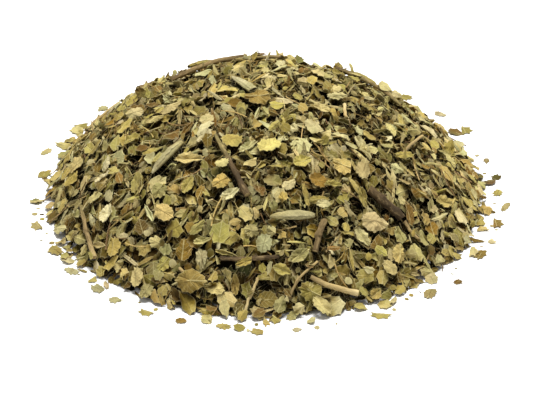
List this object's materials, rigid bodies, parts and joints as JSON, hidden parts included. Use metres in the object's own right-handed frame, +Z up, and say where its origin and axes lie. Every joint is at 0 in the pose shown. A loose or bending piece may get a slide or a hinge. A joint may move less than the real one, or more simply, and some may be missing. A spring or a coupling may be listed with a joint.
{
  "type": "heap of dried cut herb leaf",
  "caption": "Low round heap of dried, cut, toothed herb leaf with bits of twig and stalk in it and single pieces lying round its rim.",
  "frame": {"origin": "middle of the heap's flat underside, where it rests", "axes": "+Z up through the top of the heap, -Y towards the heap's front, +X to the right as seen from the front"},
  "size_m": [0.12, 0.1215, 0.0287],
  "materials": {
    "leaf_green": "matt, dried olive green leaf",
    "leaf_pale": "matt, dried pale yellow-green leaf",
    "leaf_brown": "matt, dried brown leaf",
    "twig": "dull brown bark",
    "straw": "smooth dried stalk, straw-coloured"
  },
  "bodies": {
    "root": {"leaf_heap": "leaf_green", "brown_twig_1": "twig", "brown_twig_2": "twig", "brown_twig_3": "twig", "brown_twig_4": "twig", "brown_twig_5": "twig", "brown_twig_6": "twig", "brown_twig_7": "twig", "brown_twig_8": "twig", "brown_twig_9": "twig", "brown_twig_10": "twig", "brown_twig_11": "twig", "straw_stalk_1": "straw", "straw_stalk_2": "straw", "straw_stalk_3": "straw", "straw_stalk_4": "straw", "straw_stalk_5": "straw", "straw_stalk_6": "straw", "straw_stalk_7": "straw", "rolled_leaf_1": "leaf_pale", "rolled_leaf_2": "leaf_green", "rolled_leaf_3": "leaf_pale", "rolled_leaf_4": "leaf_green", "rolled_leaf_5": "leaf_pale", "loose_piece_01": "leaf_pale", "loose_piece_02": "leaf_green", "loose_piece_03": "leaf_green", "loose_piece_04": "leaf_green", "loose_piece_05": "leaf_green", "loose_piece_06": "leaf_pale", "loose_piece_07": "leaf_pale", "loose_piece_08": "leaf_pale", "loose_piece_09": "leaf_green", "loose_piece_10": "leaf_brown", "loose_piece_11": "leaf_green", "loose_piece_12": "leaf_green", "loose_piece_13": "leaf_pale", "loose_piece_14": "leaf_green", "loose_piece_15": "leaf_green", "loose_piece_16": "leaf_brown", "loose_piece_17": "leaf_brown", "loose_piece_18": "leaf_pale", "loose_piece_19": "leaf_brown", "loose_piece_20": "leaf_pale", "loose_piece_21": "leaf_green", "loose_piece_22": "leaf_brown", "loose_piece_23": "leaf_green", "loose_piece_24": "leaf_green", "loose_piece_25": "leaf_pale", "loose_piece_26": "leaf_green", "loose_piece_27": "leaf_brown", "loose_piece_28": "leaf_green", "loose_piece_29": "leaf_pale", "loose_piece_30": "leaf_green", "loose_piece_31": "leaf_brown", "loose_piece_32": "leaf_green", "loose_piece_33": "leaf_pale", "loose_piece_34": "leaf_green"}
  },
  "joints": []
}
